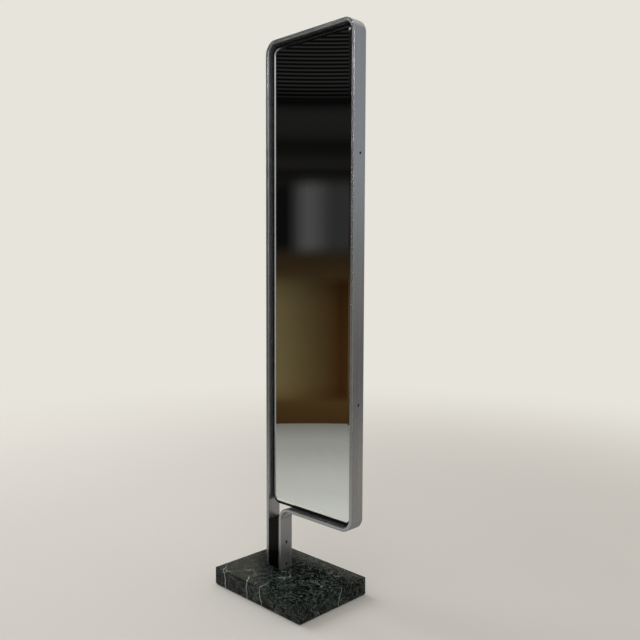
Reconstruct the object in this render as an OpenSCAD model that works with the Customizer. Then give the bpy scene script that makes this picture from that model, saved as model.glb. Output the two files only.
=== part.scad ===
// Floor mirror: one flat bar bent into a P-shaped ring and post, a bevelled mirror on a black board,
// and a polished stone base. The origin is the middle of the underside, +Z up, the mirror faces -Y.

/* [Ring and post] */
// Height from the floor to the top of the ring
overall_h = 1750; // [1400:10:2000]
// Height from the floor to the underside of the ring
ring_clear = 255; // [235:1:400]
// Outside width of the ring
ring_w = 380; // [300:1:560]
// Depth of the flat bar, front to back
bar_depth = 50; // [44:1:70]
// Thickness of the flat bar
bar_t = 12; // [10:0.5:16]
// Radius of the bar's long edges
edge_r = 2.5; // [0.5:0.25:4.5]
// Inside radius of the ring's three corner bends
corner_r = 30; // [24:1:60]
// Inside radius of the bend where the ring turns down into the right leg
leg_bend_r = 34; // [20:1:50]

/* [Post core] */
// Width of the core, which is the gap between the two legs
core_w = 48; // [40:1:80]
// Height of the core above the stone
core_h = 156; // [140:1:165]
// How far the core's faces lie behind the bars' edges
core_setback = 0.5; // [0:0.25:3]
// Wall of the core's tube
tube_wall = 3; // [2:0.5:4]
// Thickness of the core's lid
cap_t = 4; // [2:0.5:8]
// Depth of the lid's plug inside the tube
plug_depth = 10; // [4:1:20]
// Height of the steel block inside the foot of the core
block_h = 110; // [104:1:120]

/* [Base] */
// Width of the stone slab
base_w = 400; // [360:5:600]
// Depth of the stone slab, front to back
base_d = 290; // [240:5:450]
// Thickness of the stone slab
slab_t = 55; // [45:1:80]
// Chamfer along the slab's edges
slab_chamfer = 1.2; // [0.5:0.1:4]
// Thickness of the felt under the slab
felt_t = 3; // [1:0.5:4]
// How far the felt's edge lies inside the slab's edge
felt_inset = 4; // [2:1:20]
// Distance from the slab's left edge to the left leg
post_left = 97; // [70:1:200]
// Distance from the slab's front edge to the bars' front edges
post_front = 136; // [80:1:180]

/* [Base fixing] */
// Thread diameter of the bolts that hold the post on the slab
bolt_d = 10; // [8:1:12]
// Distance between the two bolts, front to back
bolt_pitch = 22; // [20:1:24]
// Depth of each bolt's thread in the steel block
bolt_grip = 26; // [16:1:36]
// Width of the clamp plate in the slab's underside
plate_w = 90; // [60:1:130]
// Depth of the clamp plate, front to back
plate_d = 70; // [50:1:100]
// Thickness of the clamp plate
plate_t = 6; // [4:0.5:8]
// Thickness of the bolts' washers
washer_t = 2; // [1:0.5:3]
// Depth of the pocket in the slab's underside
pocket_h = 20; // [19:1:26]

/* [Leg screws] */
// Thread diameter of the screws through the legs
leg_screw_d = 5; // [4:1:6]
// Height of the lower leg screws above the stone
leg_screw_low = 13.5; // [12:0.5:24]
// Height of the upper leg screws above the stone
leg_screw_high = 86.5; // [60:0.5:95]
// Depth of each leg screw's thread in the steel block
leg_screw_grip = 12; // [8:1:15]

/* [Panel] */
// Gap between the bar and the black board all round
panel_gap = 1.5; // [1:0.5:4]
// How far the board's face lies behind the bar's front edge
board_recess = 20; // [12:0.5:24]
// Thickness of the board
board_t = 15; // [13:0.5:19]
// How far the mirror's edge lies inside the board's edge
glass_inset = 10.5; // [4:0.5:20]
// Thickness of the mirror glass
glass_t = 4; // [3:0.5:6]
// Width of the bevel round the mirror
bevel_w = 8; // [4:0.5:15]
// Thickness of the glass that the bevel takes off at the edge
bevel_cut = 1.2; // [0.5:0.1:2]
// Thickness of the mounting tape behind the mirror
tape_t = 0.8; // [0.5:0.1:2]
// Width of one strip of mounting tape
tape_w = 20; // [10:1:40]
// Number of strips of mounting tape
tape_count = 4; // [2:1:6]
// Distance from the mirror's edge to the tape
tape_margin = 40; // [20:1:80]

/* [Panel screws] */
// Thread diameter of the screws through the sides of the ring
panel_screw_d = 4; // [3:0.5:5]
// Distance between the upper and the lower screws
panel_screw_span = 730; // [400:1:900]
// Length of the threaded inserts in the board's edges
insert_len = 12; // [10:1:20]
// Wall of the threaded inserts
insert_wall = 2; // [1.5:0.25:2.5]
// Outside diameter of the spacer washers between bar and board
spacer_d = 10; // [8:0.5:12]
// Length of one rest pad under the board
pad_len = 60; // [20:5:100]
// Distance from the ends of the ring's straight bottom to the rest pads
pad_margin = 10; // [5:1:30]

/* [Hidden] */
// Radial clearance of a thread in its tapped hole
thread_clear = 0.05;
// Radial clearance of a screw or bolt in a plain hole
hole_clear = 0.4;
// Clearance of the steel block and the lid's plug inside the tube, on each side
tube_clear = 0.2;
// Clearance of the clamp plate in its pocket, on each side
plate_clear = 5;
// How far a screw's head lies below the bar's face
head_sink = 0.4;
// Extra length of a cutting tool past a face
cut = 1;
// Socket heads: diameter, height, key width and key depth as shares of the thread
head_ratio = 1.7;
head_h_ratio = 1;
key_ratio = 0.8;
key_depth_ratio = 0.5;
// Hexagon heads and their washers, as shares of the thread
hex_ratio = 1.7;
hex_h_ratio = 0.64;
washer_ratio = 2;
// Segments of a round
$fn = 64;

base_top = felt_t + slab_t;
left_x = -base_w/2 + post_left;
right_x = left_x + ring_w;
front_y = -base_d/2 + post_front;
back_y = front_y + bar_depth;
mid_y = front_y + bar_depth/2;
core_x = left_x + bar_t;
core_mid_x = core_x + core_w/2;
leg_right_x = core_x + core_w + bar_t;
outer_r = corner_r + bar_t;
leg_bend_x = leg_right_x + leg_bend_r;
leg_bend_z = ring_clear - leg_bend_r;
ring_mid_z = (ring_clear + overall_h)/2;

core_d = bar_depth - 2*core_setback;
tube_h = core_h - cap_t;
bore_w = core_w - 2*tube_wall;
bore_d = core_d - 2*tube_wall;

web_t = slab_t - pocket_h;
pocket_top = felt_t + pocket_h;
bolt_len = washer_t + plate_t + web_t + bolt_grip;
leg_screw_len = bar_t - screw_recess(leg_screw_d) + tube_wall + tube_clear + leg_screw_grip;
panel_screw_len = bar_t - screw_recess(panel_screw_d) + panel_gap + insert_len;
insert_d = panel_screw_d + 2*insert_wall;

board_w = ring_w - 2*bar_t - 2*panel_gap;
board_h = overall_h - ring_clear - 2*bar_t - 2*panel_gap;
board_r = corner_r - panel_gap;
board_mid_x = left_x + ring_w/2;
board_y = front_y + board_recess;
board_mid_y = board_y + board_t/2;
glass_w = board_w - 2*glass_inset;
glass_h = board_h - 2*glass_inset;
glass_r = max(board_r - glass_inset, bevel_w + 1);
glass_y = board_y - tape_t - glass_t;
tape_pitch = (glass_w - 2*tape_margin - tape_w)/(tape_count - 1);

// Depth of the counterbore that hides a screw's head
function screw_recess(d) = head_h_ratio*d + head_sink;

// A socket head screw along +X, with the underside of its head at the origin
module socket_screw(d, len) {
    rotate([0, 90, 0]) {
        cylinder(d = d, h = len);
        difference() {
            translate([0, 0, -head_h_ratio*d])
                cylinder(d = head_ratio*d, h = head_h_ratio*d);
            translate([0, 0, -head_h_ratio*d - cut])
                cylinder(d = key_ratio*d/cos(30), h = key_depth_ratio*d + cut, $fn = 6);
        }
    }
}

// The space of a sunk socket screw along +X, from the bar's outer face at the origin
module screw_hole(d, len) {
    rotate([0, 90, 0]) {
        translate([0, 0, -cut])
            cylinder(d = head_ratio*d + 2*hole_clear, h = screw_recess(d) + cut);
        cylinder(d = d + 2*hole_clear, h = len + cut);
    }
}

// Puts a shape made along +X on the right side, pointing back to the left
module from_right(x) {
    translate([x, 0, 0])
        mirror([1, 0, 0])
            children();
}

// A plate with round corners, standing on the XZ plane with its front face at y = 0
module round_plate(w, h, t, r) {
    rotate([90, 0, 0])
        translate([0, 0, -t])
            linear_extrude(t) {
                square([w - 2*r, h], center = true);
                square([w, h - 2*r], center = true);
                for (sx = [-1, 1], sz = [-1, 1])
                    translate([sx*(w/2 - r), sz*(h/2 - r)])
                        circle(r = r);
            }
}

// Half the cross-section of a bevelled edge: flat back, upright edge, then the bevel up to the face
module bevel_section(half, t, bw, bd) {
    polygon([[-half, 0], [half, 0], [half, t - bd], [half - bw, t], [bw - half, t], [-half, t - bd]]);
}

// A plate with round corners and a bevel all round its front face, its back face at y = 0
module bevelled_plate(w, h, t, r, bw, bd) {
    rotate([90, 0, 0]) {
        translate([0, h/2 - r, 0])
            rotate([90, 0, 0])
                linear_extrude(h - 2*r)
                    bevel_section(w/2, t, bw, bd);
        translate([w/2 - r, 0, 0])
            rotate([0, -90, 0])
                linear_extrude(w - 2*r)
                    rotate([0, 0, -90])
                        mirror([1, 0, 0])
                            bevel_section(h/2, t, bw, bd);
        for (sx = [-1, 1], sz = [-1, 1])
            translate([sx*(w/2 - r), sz*(h/2 - r), 0]) {
                cylinder(r = r, h = t - bd);
                translate([0, 0, t - bd])
                    cylinder(r1 = r, r2 = r - bw, h = bd);
            }
    }
}

// Cross-section of the flat bar, its thickness along X and its depth along Y, with rounded edges
module bar_section() {
    translate([edge_r, 0])
        square([bar_t - 2*edge_r, bar_depth]);
    translate([0, edge_r])
        square([bar_t, bar_depth - 2*edge_r]);
    for (x = [edge_r, bar_t - edge_r], y = [edge_r, bar_depth - edge_r])
        translate([x, y])
            circle(r = edge_r);
}

// An upright stretch of bar, from its lower end
module bar_upright(x, z, len) {
    translate([x, front_y, z])
        linear_extrude(len)
            bar_section();
}

// A level stretch of bar, from its left end and its underside
module bar_level(x, z, len) {
    translate([x, front_y, z + bar_t])
        rotate([0, 90, 0])
            linear_extrude(len)
                bar_section();
}

// A quarter bend of the bar about a point, from the angle given, counted from +X towards +Z
module bar_bend(x, z, inner_r, from) {
    translate([x, back_y, z])
        rotate([90, 0, 0])
            rotate([0, 0, from])
                rotate_extrude(angle = 90)
                    translate([inner_r, 0])
                        bar_section();
}

// The bent bar: up the left leg, round the ring clockwise and down into the right leg
module bent_bar() {
    top_bend_z = overall_h - outer_r;
    low_bend_z = ring_clear + outer_r;
    left_bend_x = left_x + outer_r;
    right_bend_x = right_x - outer_r;
    bar_upright(left_x, base_top, top_bend_z - base_top);
    bar_bend(left_bend_x, top_bend_z, corner_r, 90);
    bar_level(left_bend_x, overall_h - bar_t, right_bend_x - left_bend_x);
    bar_bend(right_bend_x, top_bend_z, corner_r, 0);
    bar_upright(right_x - bar_t, low_bend_z, top_bend_z - low_bend_z);
    bar_bend(right_bend_x, low_bend_z, corner_r, 270);
    bar_level(leg_bend_x, ring_clear, right_bend_x - leg_bend_x);
    bar_bend(leg_bend_x, leg_bend_z, leg_bend_r, 90);
    bar_upright(leg_right_x - bar_t, base_top, leg_bend_z - base_top);
}

// Places its children at each leg screw's height on a leg's outer face
module at_leg_screws() {
    for (z = [leg_screw_low, leg_screw_high])
        translate([0, mid_y, base_top + z])
            children();
}

// Places its children at each panel screw's height, in the middle of the board's thickness
module at_panel_screws() {
    for (s = [-1, 1])
        translate([0, board_mid_y, ring_mid_z + s*panel_screw_span/2])
            children();
}

// Places its children at each base bolt's axis
module at_bolts() {
    for (s = [-1, 1])
        translate([core_mid_x, mid_y + s*bolt_pitch/2, 0])
            children();
}

// A flat outline with its corners cut off by the slab's chamfer
module chamfered_rect(w, h) {
    c = slab_chamfer;
    polygon([
        [c - w/2, -h/2], [w/2 - c, -h/2], [w/2, c - h/2], [w/2, h/2 - c],
        [w/2 - c, h/2], [c - w/2, h/2], [-w/2, h/2 - c], [-w/2, c - h/2]
    ]);
}

// Polished stone slab with a pocket for the clamp plate and two bolt holes
module base_slab() {
    color([0.13, 0.17, 0.15])
        difference() {
            translate([0, 0, felt_t + slab_t/2])
                intersection() {
                    linear_extrude(slab_t, center = true)
                        chamfered_rect(base_w, base_d);
                    rotate([90, 0, 0])
                        linear_extrude(base_d, center = true)
                            chamfered_rect(base_w, slab_t);
                    rotate([90, 0, 90])
                        linear_extrude(base_w, center = true)
                            chamfered_rect(base_d, slab_t);
                }
            translate([core_mid_x, mid_y, felt_t - cut])
                linear_extrude(pocket_h + cut)
                    square([plate_w + 2*plate_clear, plate_d + 2*plate_clear], center = true);
            at_bolts()
                translate([0, 0, pocket_top - cut])
                    cylinder(d = bolt_d + 2*hole_clear, h = web_t + 2*cut);
        }
}

// Felt glued under the slab
module base_felt() {
    color([0.10, 0.10, 0.10])
        linear_extrude(felt_t)
            square([base_w - 2*felt_inset, base_d - 2*felt_inset], center = true);
}

// Steel plate in the pocket, which spreads the bolts' pull over the stone
module base_clamp_plate() {
    color([0.55, 0.56, 0.58])
        difference() {
            translate([core_mid_x, mid_y, pocket_top - plate_t])
                linear_extrude(plate_t)
                    square([plate_w, plate_d], center = true);
            at_bolts()
                translate([0, 0, pocket_top - plate_t - cut])
                    cylinder(d = bolt_d + 2*hole_clear, h = plate_t + 2*cut);
        }
}

// Washers under the bolt heads
module base_washers() {
    color([0.65, 0.66, 0.68])
        at_bolts()
            translate([0, 0, pocket_top - plate_t - washer_t])
                difference() {
                    cylinder(d = washer_ratio*bolt_d, h = washer_t);
                    translate([0, 0, -cut])
                        cylinder(d = bolt_d + 2*hole_clear, h = washer_t + 2*cut);
                }
}

// Hexagon bolts up through the slab into the post's steel block
module base_bolts() {
    head_h = hex_h_ratio*bolt_d;
    color([0.60, 0.61, 0.63])
        at_bolts()
            translate([0, 0, pocket_top - plate_t - washer_t]) {
                cylinder(d = bolt_d, h = bolt_len);
                translate([0, 0, -head_h])
                    cylinder(d = hex_ratio*bolt_d/cos(30), h = head_h, $fn = 6);
            }
}

// Steel block in the foot of the core, tapped from below and from both sides
module post_foot_block() {
    block_w = bore_w - 2*tube_clear;
    block_d = bore_d - 2*tube_clear;
    color([0.50, 0.51, 0.53])
        difference() {
            translate([core_mid_x, mid_y, base_top])
                linear_extrude(block_h)
                    square([block_w, block_d], center = true);
            at_bolts()
                translate([0, 0, base_top - cut])
                    cylinder(d = bolt_d + 2*thread_clear, h = bolt_grip + 2*cut);
            at_leg_screws()
                for (s = [-1, 1])
                    translate([core_mid_x + s*(block_w/2 + cut), 0, 0])
                        rotate([0, -90*s, 0])
                            cylinder(d = leg_screw_d + 2*thread_clear, h = leg_screw_grip + 2*cut);
        }
}

// Black square tube between the two legs
module post_core_tube() {
    color([0.05, 0.05, 0.06])
        difference() {
            translate([core_mid_x, mid_y, base_top])
                linear_extrude(tube_h)
                    difference() {
                        square([core_w, core_d], center = true);
                        square([bore_w, bore_d], center = true);
                    }
            at_leg_screws()
                translate([core_x - cut, 0, 0])
                    rotate([0, 90, 0])
                        cylinder(d = leg_screw_d + 2*hole_clear, h = core_w + 2*cut);
        }
}

// Black lid that closes the tube, with a plug inside it
module post_core_lid() {
    color([0.06, 0.06, 0.07])
        translate([core_mid_x, mid_y, base_top + tube_h]) {
            linear_extrude(cap_t)
                square([core_w, core_d], center = true);
            translate([0, 0, -plug_depth])
                linear_extrude(plug_depth)
                    square([bore_w - 2*tube_clear, bore_d - 2*tube_clear], center = true);
        }
}

// The bent bar with its screw holes
module frame_band() {
    color([0.62, 0.63, 0.64])
        difference() {
            bent_bar();
            at_leg_screws() {
                translate([left_x, 0, 0])
                    screw_hole(leg_screw_d, bar_t);
                from_right(leg_right_x)
                    screw_hole(leg_screw_d, bar_t);
            }
            at_panel_screws() {
                translate([left_x, 0, 0])
                    screw_hole(panel_screw_d, bar_t);
                from_right(right_x)
                    screw_hole(panel_screw_d, bar_t);
            }
        }
}

// Screws through the left leg into the steel block
module leg_screws_left() {
    color([0.15, 0.15, 0.16])
        at_leg_screws()
            translate([left_x + screw_recess(leg_screw_d), 0, 0])
                socket_screw(leg_screw_d, leg_screw_len);
}

// Screws through the right leg into the steel block
module leg_screws_right() {
    color([0.15, 0.15, 0.16])
        at_leg_screws()
            from_right(leg_right_x - screw_recess(leg_screw_d))
                socket_screw(leg_screw_d, leg_screw_len);
}

// Black board that carries the mirror, drilled in its edges for the inserts
module backing_board() {
    color([0.04, 0.04, 0.045])
        difference() {
            translate([board_mid_x, board_y, ring_mid_z])
                round_plate(board_w, board_h, board_t, board_r);
            at_panel_screws()
                for (s = [-1, 1])
                    translate([board_mid_x + s*(board_w/2 + cut), 0, 0])
                        rotate([0, -90*s, 0])
                            cylinder(d = insert_d + 2*thread_clear, h = insert_len + cut);
        }
}

// Threaded brass inserts in the board's edges
module board_inserts() {
    color([0.72, 0.58, 0.30])
        at_panel_screws()
            for (s = [-1, 1])
                translate([board_mid_x + s*board_w/2, 0, 0])
                    rotate([0, -90*s, 0])
                        difference() {
                            cylinder(d = insert_d, h = insert_len);
                            translate([0, 0, -cut])
                                cylinder(d = panel_screw_d + 2*thread_clear, h = insert_len + 2*cut);
                        }
}

// Washers that hold the gap between the bar and the board at each screw
module board_spacers() {
    color([0.08, 0.08, 0.08])
        at_panel_screws()
            for (s = [-1, 1])
                translate([board_mid_x + s*(board_w/2 + panel_gap), 0, 0])
                    rotate([0, -90*s, 0])
                        difference() {
                            cylinder(d = spacer_d, h = panel_gap);
                            translate([0, 0, -cut])
                                cylinder(d = panel_screw_d + 2*hole_clear, h = panel_gap + 2*cut);
                        }
}

// Thin pads on the ring's bottom bar, which carry the board's weight
module board_rest_pads() {
    color([0.06, 0.06, 0.06])
        for (x = [leg_bend_x + pad_margin, right_x - outer_r - pad_margin - pad_len])
            translate([x, board_y, ring_clear + bar_t])
                cube([pad_len, board_t, panel_gap]);
}

// Screws through the ring's left side into the board
module panel_screws_left() {
    color([0.15, 0.15, 0.16])
        at_panel_screws()
            translate([left_x + screw_recess(panel_screw_d), 0, 0])
                socket_screw(panel_screw_d, panel_screw_len);
}

// Screws through the ring's right side into the board
module panel_screws_right() {
    color([0.15, 0.15, 0.16])
        at_panel_screws()
            from_right(right_x - screw_recess(panel_screw_d))
                socket_screw(panel_screw_d, panel_screw_len);
}

// Strips of mounting tape between the mirror and the board
module mirror_tape() {
    color([0.85, 0.85, 0.82])
        for (i = [0:tape_count - 1])
            translate([board_mid_x - glass_w/2 + tape_margin + i*tape_pitch, board_y - tape_t,
                       ring_mid_z - glass_h/2 + tape_margin])
                cube([tape_w, tape_t, glass_h - 2*tape_margin]);
}

// Silvered glass with a bevel all round its front
module mirror_glass() {
    color([0.78, 0.82, 0.83])
        translate([board_mid_x, glass_y + glass_t, ring_mid_z])
            bevelled_plate(glass_w, glass_h, glass_t, glass_r, bevel_w, bevel_cut);
}

base_slab();
base_felt();
base_clamp_plate();
base_washers();
base_bolts();
post_foot_block();
post_core_tube();
post_core_lid();
frame_band();
leg_screws_left();
leg_screws_right();
backing_board();
board_inserts();
board_spacers();
board_rest_pads();
panel_screws_left();
panel_screws_right();
mirror_tape();
mirror_glass();
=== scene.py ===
# %% [markdown]
# # A floor mirror in a bent aluminium ring
#
# The construction is ready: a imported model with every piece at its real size. This lesson gives it its
# looks. It makes three pieces again as smooth surfaces, where packed triangles are too coarse for polished
# metal and glass, and gives every other piece its finish where it stands. Lengths are metres, +Z is up, and
# the mirror faces -Y.

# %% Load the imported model
import math

import bpy
import numpy as np
from mathutils import Matrix, Vector


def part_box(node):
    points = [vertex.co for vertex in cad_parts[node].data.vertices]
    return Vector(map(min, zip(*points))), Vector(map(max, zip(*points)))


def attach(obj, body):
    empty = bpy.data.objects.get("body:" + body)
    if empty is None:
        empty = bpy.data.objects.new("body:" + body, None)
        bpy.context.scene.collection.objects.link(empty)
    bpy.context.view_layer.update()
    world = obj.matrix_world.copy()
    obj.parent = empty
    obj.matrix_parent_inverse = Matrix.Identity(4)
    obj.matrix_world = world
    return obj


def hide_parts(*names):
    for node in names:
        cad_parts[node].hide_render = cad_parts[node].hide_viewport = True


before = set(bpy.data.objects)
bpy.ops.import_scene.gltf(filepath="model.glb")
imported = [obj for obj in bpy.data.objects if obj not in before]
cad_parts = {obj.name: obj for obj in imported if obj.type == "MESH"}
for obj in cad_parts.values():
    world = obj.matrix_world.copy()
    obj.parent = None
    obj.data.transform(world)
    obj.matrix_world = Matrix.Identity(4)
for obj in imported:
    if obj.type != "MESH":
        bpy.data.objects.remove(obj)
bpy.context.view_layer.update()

# %% [markdown]
# ## The camera
#
# Every later choice is judged through the camera. Its place and angles were found by matching the corners
# of the stone, the ring and the screws to where they lie in the photograph. It looks slightly down, from
# the right of the mirror's front. A camera looks along its own -Z axis, so its matrix is built from its
# right, up and backward directions.

# %% Place the camera
CAMERA_PLACE = Vector((1.6802, -1.5615, 1.0335))
CAMERA_AZIMUTH = math.radians(44.696)
CAMERA_PITCH = math.radians(3.958)
CAMERA_ROLL = math.radians(0.205)
CAMERA_LENS = 40.93


def placed(name, data):
    """An object with that data, linked to the scene."""
    made = bpy.data.objects.new(name, data)
    bpy.context.scene.collection.objects.link(made)
    return made


def add_camera():
    """A camera that looks along (-sin a cos p, cos a cos p, -sin p), turned by its roll about that line."""
    a, p, roll = CAMERA_AZIMUTH, CAMERA_PITCH, CAMERA_ROLL
    ahead = Vector((-math.sin(a) * math.cos(p), math.cos(a) * math.cos(p), -math.sin(p)))
    level = Vector((math.cos(a), math.sin(a), 0))
    above = level.cross(ahead)
    right = math.cos(roll) * level + math.sin(roll) * above
    up = -math.sin(roll) * level + math.cos(roll) * above
    data = bpy.data.cameras.new("camera")
    data.lens = CAMERA_LENS
    camera = placed("camera", data)
    turned = Matrix((right, up, -ahead)).transposed().to_4x4()
    camera.matrix_world = Matrix.Translation(CAMERA_PLACE) @ turned
    bpy.context.scene.camera = camera
    return camera


camera = add_camera()
print("camera at", [round(v, 3) for v in camera.matrix_world.translation])

# %% [markdown]
# ## Sizes taken from the frame
#
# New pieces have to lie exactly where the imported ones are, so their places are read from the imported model's
# boxes, and only bends, bores and small edge radii are written as sizes of their own.

# %% Read the places of the bar, the board and the glass
band_low, band_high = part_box("frame_band")
core_low, core_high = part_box("post_core_tube")
board_low, board_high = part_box("backing_board")
glass_low, glass_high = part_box("mirror_glass")
screws_low, screws_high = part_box("leg_screws_left")
panel_screws_low, panel_screws_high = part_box("panel_screws_left")

BAR_T = core_low.x - band_low.x
BAR_DEPTH = band_high.y - band_low.y
MID_Y = (band_low.y + band_high.y) / 2
BASE_TOP = band_low.z
RING_CLEAR = 0.255
CORNER_R = 0.030
LEG_BEND_R = 0.034
EDGE_R = 0.0025
print(f"bar {1000 * BAR_DEPTH:.1f} by {1000 * BAR_T:.1f} mm, feet at z = {1000 * BASE_TOP:.1f} mm")

# %% [markdown]
# ## A skin of patches
#
# Each new piece is a closed skin of patches: grids of points that a formula gives, and flat faces. A patch
# carries the true normal at every point, so a flat stays flat and a bend smooth right up to the line where
# they meet. Averaged normals would smear the bend over the flat. The skin also carries a map: the length
# along the piece and the length round it, in metres, which the brushed finish follows later.

# %% A skin gathers patches and makes one mesh
MERGE = 1e-7


def grid_corners(values):
    """The values at the four corners of each of a grid's quads."""
    return np.stack([values[:-1, :-1], values[1:, :-1], values[1:, 1:], values[:-1, 1:]], axis=2)


class Skin:
    """Patches of surface with their normals, map and finish, joined into one closed mesh."""

    def __init__(self):
        self.points, self.normals, self.maps, self.counts, self.finishes = [], [], [], [], []

    def grid(self, points, normals, maps, keep=True, finish=0):
        """Adds the quads of a grid of (rows, columns) points. keep is a mask of the quads that stay. A quad
        that faces against its normals is turned round."""
        quads = [grid_corners(v)[keep].reshape(-1, 4, v.shape[2]) for v in (points, normals, maps)]
        p, n, _ = quads
        facing = (np.cross(p[:, 2] - p[:, 0], p[:, 3] - p[:, 1]) * n.sum(axis=1)).sum(axis=1)
        order = np.where(facing[:, None] < 0, [3, 2, 1, 0], [0, 1, 2, 3])[:, :, None]
        for kept, values in zip((self.points, self.normals, self.maps), quads):
            kept.append(np.take_along_axis(values, order, axis=1).reshape(-1, values.shape[2]))
        self.counts.append(np.full(len(p), 4))
        self.finishes.append(np.full(len(p), finish))

    def polygon(self, points, normal, maps, finish=0):
        """Adds one flat face, its points in order round it, turned round if it faces against its normal."""
        area = np.cross(points, np.roll(points, -1, axis=0)).sum(axis=0)
        step = -1 if area @ normal < 0 else 1
        self.points.append(points[::step])
        self.normals.append(np.tile(normal, (len(points), 1)))
        self.maps.append(maps[::step])
        self.counts.append([len(points)])
        self.finishes.append([finish])

    def build(self, name):
        """Corners at the same place become one vertex. Prints how many edges don't join exactly two faces."""
        points = np.concatenate(self.points)
        counts = np.concatenate(self.counts)
        keys = np.round(points / MERGE).astype(np.int64)
        _, first, shared = np.unique(keys, axis=0, return_index=True, return_inverse=True)
        shared = shared.reshape(-1)
        faces = np.split(shared, np.cumsum(counts)[:-1])
        mesh = bpy.data.meshes.new(name)
        mesh.from_pydata(points[first], [], faces)
        mesh.polygons.foreach_set("material_index", np.concatenate(self.finishes))
        mesh.polygons.foreach_set("use_smooth", np.ones(len(counts), bool))
        mesh.uv_layers.new(name="along_piece").data.foreach_set("uv", np.concatenate(self.maps).ravel())
        normals = np.concatenate(self.normals)
        normals /= np.linalg.norm(normals, axis=1)[:, None]
        mesh.normals_split_custom_set(normals)
        ends = np.concatenate([np.roll(face, -1) for face in faces])
        edges = np.sort(np.stack([shared, ends], axis=1), axis=1)
        _, uses = np.unique(edges, axis=0, return_counts=True)
        print(f"{name}: {len(counts)} faces, {np.count_nonzero(uses != 2)} open edges")
        piece = placed(name, mesh)
        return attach(piece, "root")


# %% [markdown]
# ## Outlines, bores and pierced flats
#
# Three small surfaces serve all pieces. A rounded rectangle is the bar's section and also the outline of
# the board and the mirror. A bore is a line of radius and depth turned about an axis. Where a bore opens in
# a flat, the flat's quad is left out and four faces take its place: each runs along one side of the
# rectangle and back along a quarter of the circle.

# %% The outline of a rounded rectangle
def rounded_outline(width, height, radius, steps, marks=()):
    """Points and normals round a rectangle about (0, 0), anticlockwise from the top of its right side, the
    first ones again at the end, so that a grid over them closes. Each corner is its centre + radius (cos a,
    sin a). Marks are heights that get a point of their own on both upright sides."""
    quarter = np.linspace(0, np.pi / 2, steps + 1)
    angles = quarter[None, :] + np.arange(4)[:, None] * np.pi / 2
    normals = np.stack([np.cos(angles), np.sin(angles)], axis=2)
    signs = np.array([[1, 1], [-1, 1], [-1, -1], [1, -1]])
    centres = signs * [width / 2 - radius, height / 2 - radius]
    arcs = centres[:, None, :] + radius * normals
    rise = np.sort(np.array(marks, float))
    left = np.insert(rise[::-1, None], 0, -width / 2, axis=1)
    right = np.insert(rise[:, None], 0, width / 2, axis=1)
    sides = [np.tile([[x, 0.0]], (len(rise), 1)) for x in (-1, 1)]
    return tuple(np.concatenate([corner[0], corner[1], left, corner[2], corner[3], right, corner[0, :1]])
                 for corner, left, right in ((arcs, left, right), (normals, *sides)))


def lengths_along(points):
    """The distance walked to each point of a line, from its first point."""
    steps = np.linalg.norm(np.diff(points, axis=0), axis=1)
    return np.concatenate([[0.0], np.cumsum(steps)])


# %% Bores and the flats that they open in
BORE_STEPS = 32
BORE_ANGLES = np.linspace(0, 2 * np.pi, BORE_STEPS + 1) + np.pi / 4
ROUND = np.stack([np.cos(BORE_ANGLES), np.sin(BORE_ANGLES)], axis=1)


def bore(skin, centre, axis, side, stations, blind=False):
    """A bore's wall: stations are (radius, depth) pairs from its mouth inwards, turned about the axis. Each
    stretch is a cone, a cylinder or a ring, and its normal is the stretch turned a quarter to the hollow. A
    blind bore gets a flat end."""
    spoke = ROUND @ [side, np.cross(axis, side)]
    for (r0, d0), (r1, d1) in zip(stations, stations[1:]):
        rows = [centre + r * spoke + d * axis for r, d in ((r0, d0), (r1, d1))]
        normal = -(d1 - d0) * spoke + (r1 - r0) * axis
        turn = BORE_ANGLES * max(r0, r1)
        maps = [np.insert(turn[:, None], 1, d, axis=1) for d in (d0, d1 + abs(r1 - r0))]
        skin.grid(np.array(rows), np.array([normal, normal]), np.array(maps))
    if blind:
        skin.polygon(rows[1][:-1], -axis, np.insert(turn[:-1, None], 1, 0, axis=1))


def pierced_flat(skin, centre, along, across, normal, reach, low, high, radius, map_at, map_turn):
    """A flat rectangle with a round hole at its centre: from -reach to reach along and from low to high
    across. The four faces share the rectangle's corners and the circle's points."""
    corners = np.array([[reach, high], [-reach, high], [-reach, low], [reach, low], [reach, high]])
    quarter = BORE_STEPS // 4
    for q in range(4):
        arc = radius * ROUND[q * quarter:(q + 1) * quarter + 1][::-1]
        flat = np.concatenate([corners[q:q + 2], arc])
        points = centre + flat[:, :1] * along + flat[:, 1:] * across
        skin.polygon(points, normal, map_at + flat * [1, map_turn])


# %% [markdown]
# ## The bent bar
#
# The ring and both legs are one flat bar, bent over its flat side. It is made here as a bender makes it:
# the section, a rectangle with rounded arrises, is carried along a line that goes up, round three corners
# to the right and once to the left, down to the stone again. A sweep keeps the section true through every
# bend.

# %% The line that the bar follows
BEND_STEPS = 40
HOLE_REACH = 0.012
outer_r = CORNER_R + BAR_T
leg_bend_x = core_high.x + BAR_T + LEG_BEND_R
leg_bend_z = RING_CLEAR - LEG_BEND_R
ring_top = band_high.z
LEG_HEAD_D, LEG_THREAD_D = 0.0085, 0.005
PANEL_HEAD_D, PANEL_THREAD_D = 0.0068, 0.004
leg_screw_z = [screws_low.z + LEG_HEAD_D / 2, screws_high.z - LEG_HEAD_D / 2]
panel_screw_z = [panel_screws_low.z + PANEL_HEAD_D / 2, panel_screws_high.z - PANEL_HEAD_D / 2]
panel_screw_y = (panel_screws_low.y + panel_screws_high.y) / 2


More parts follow.
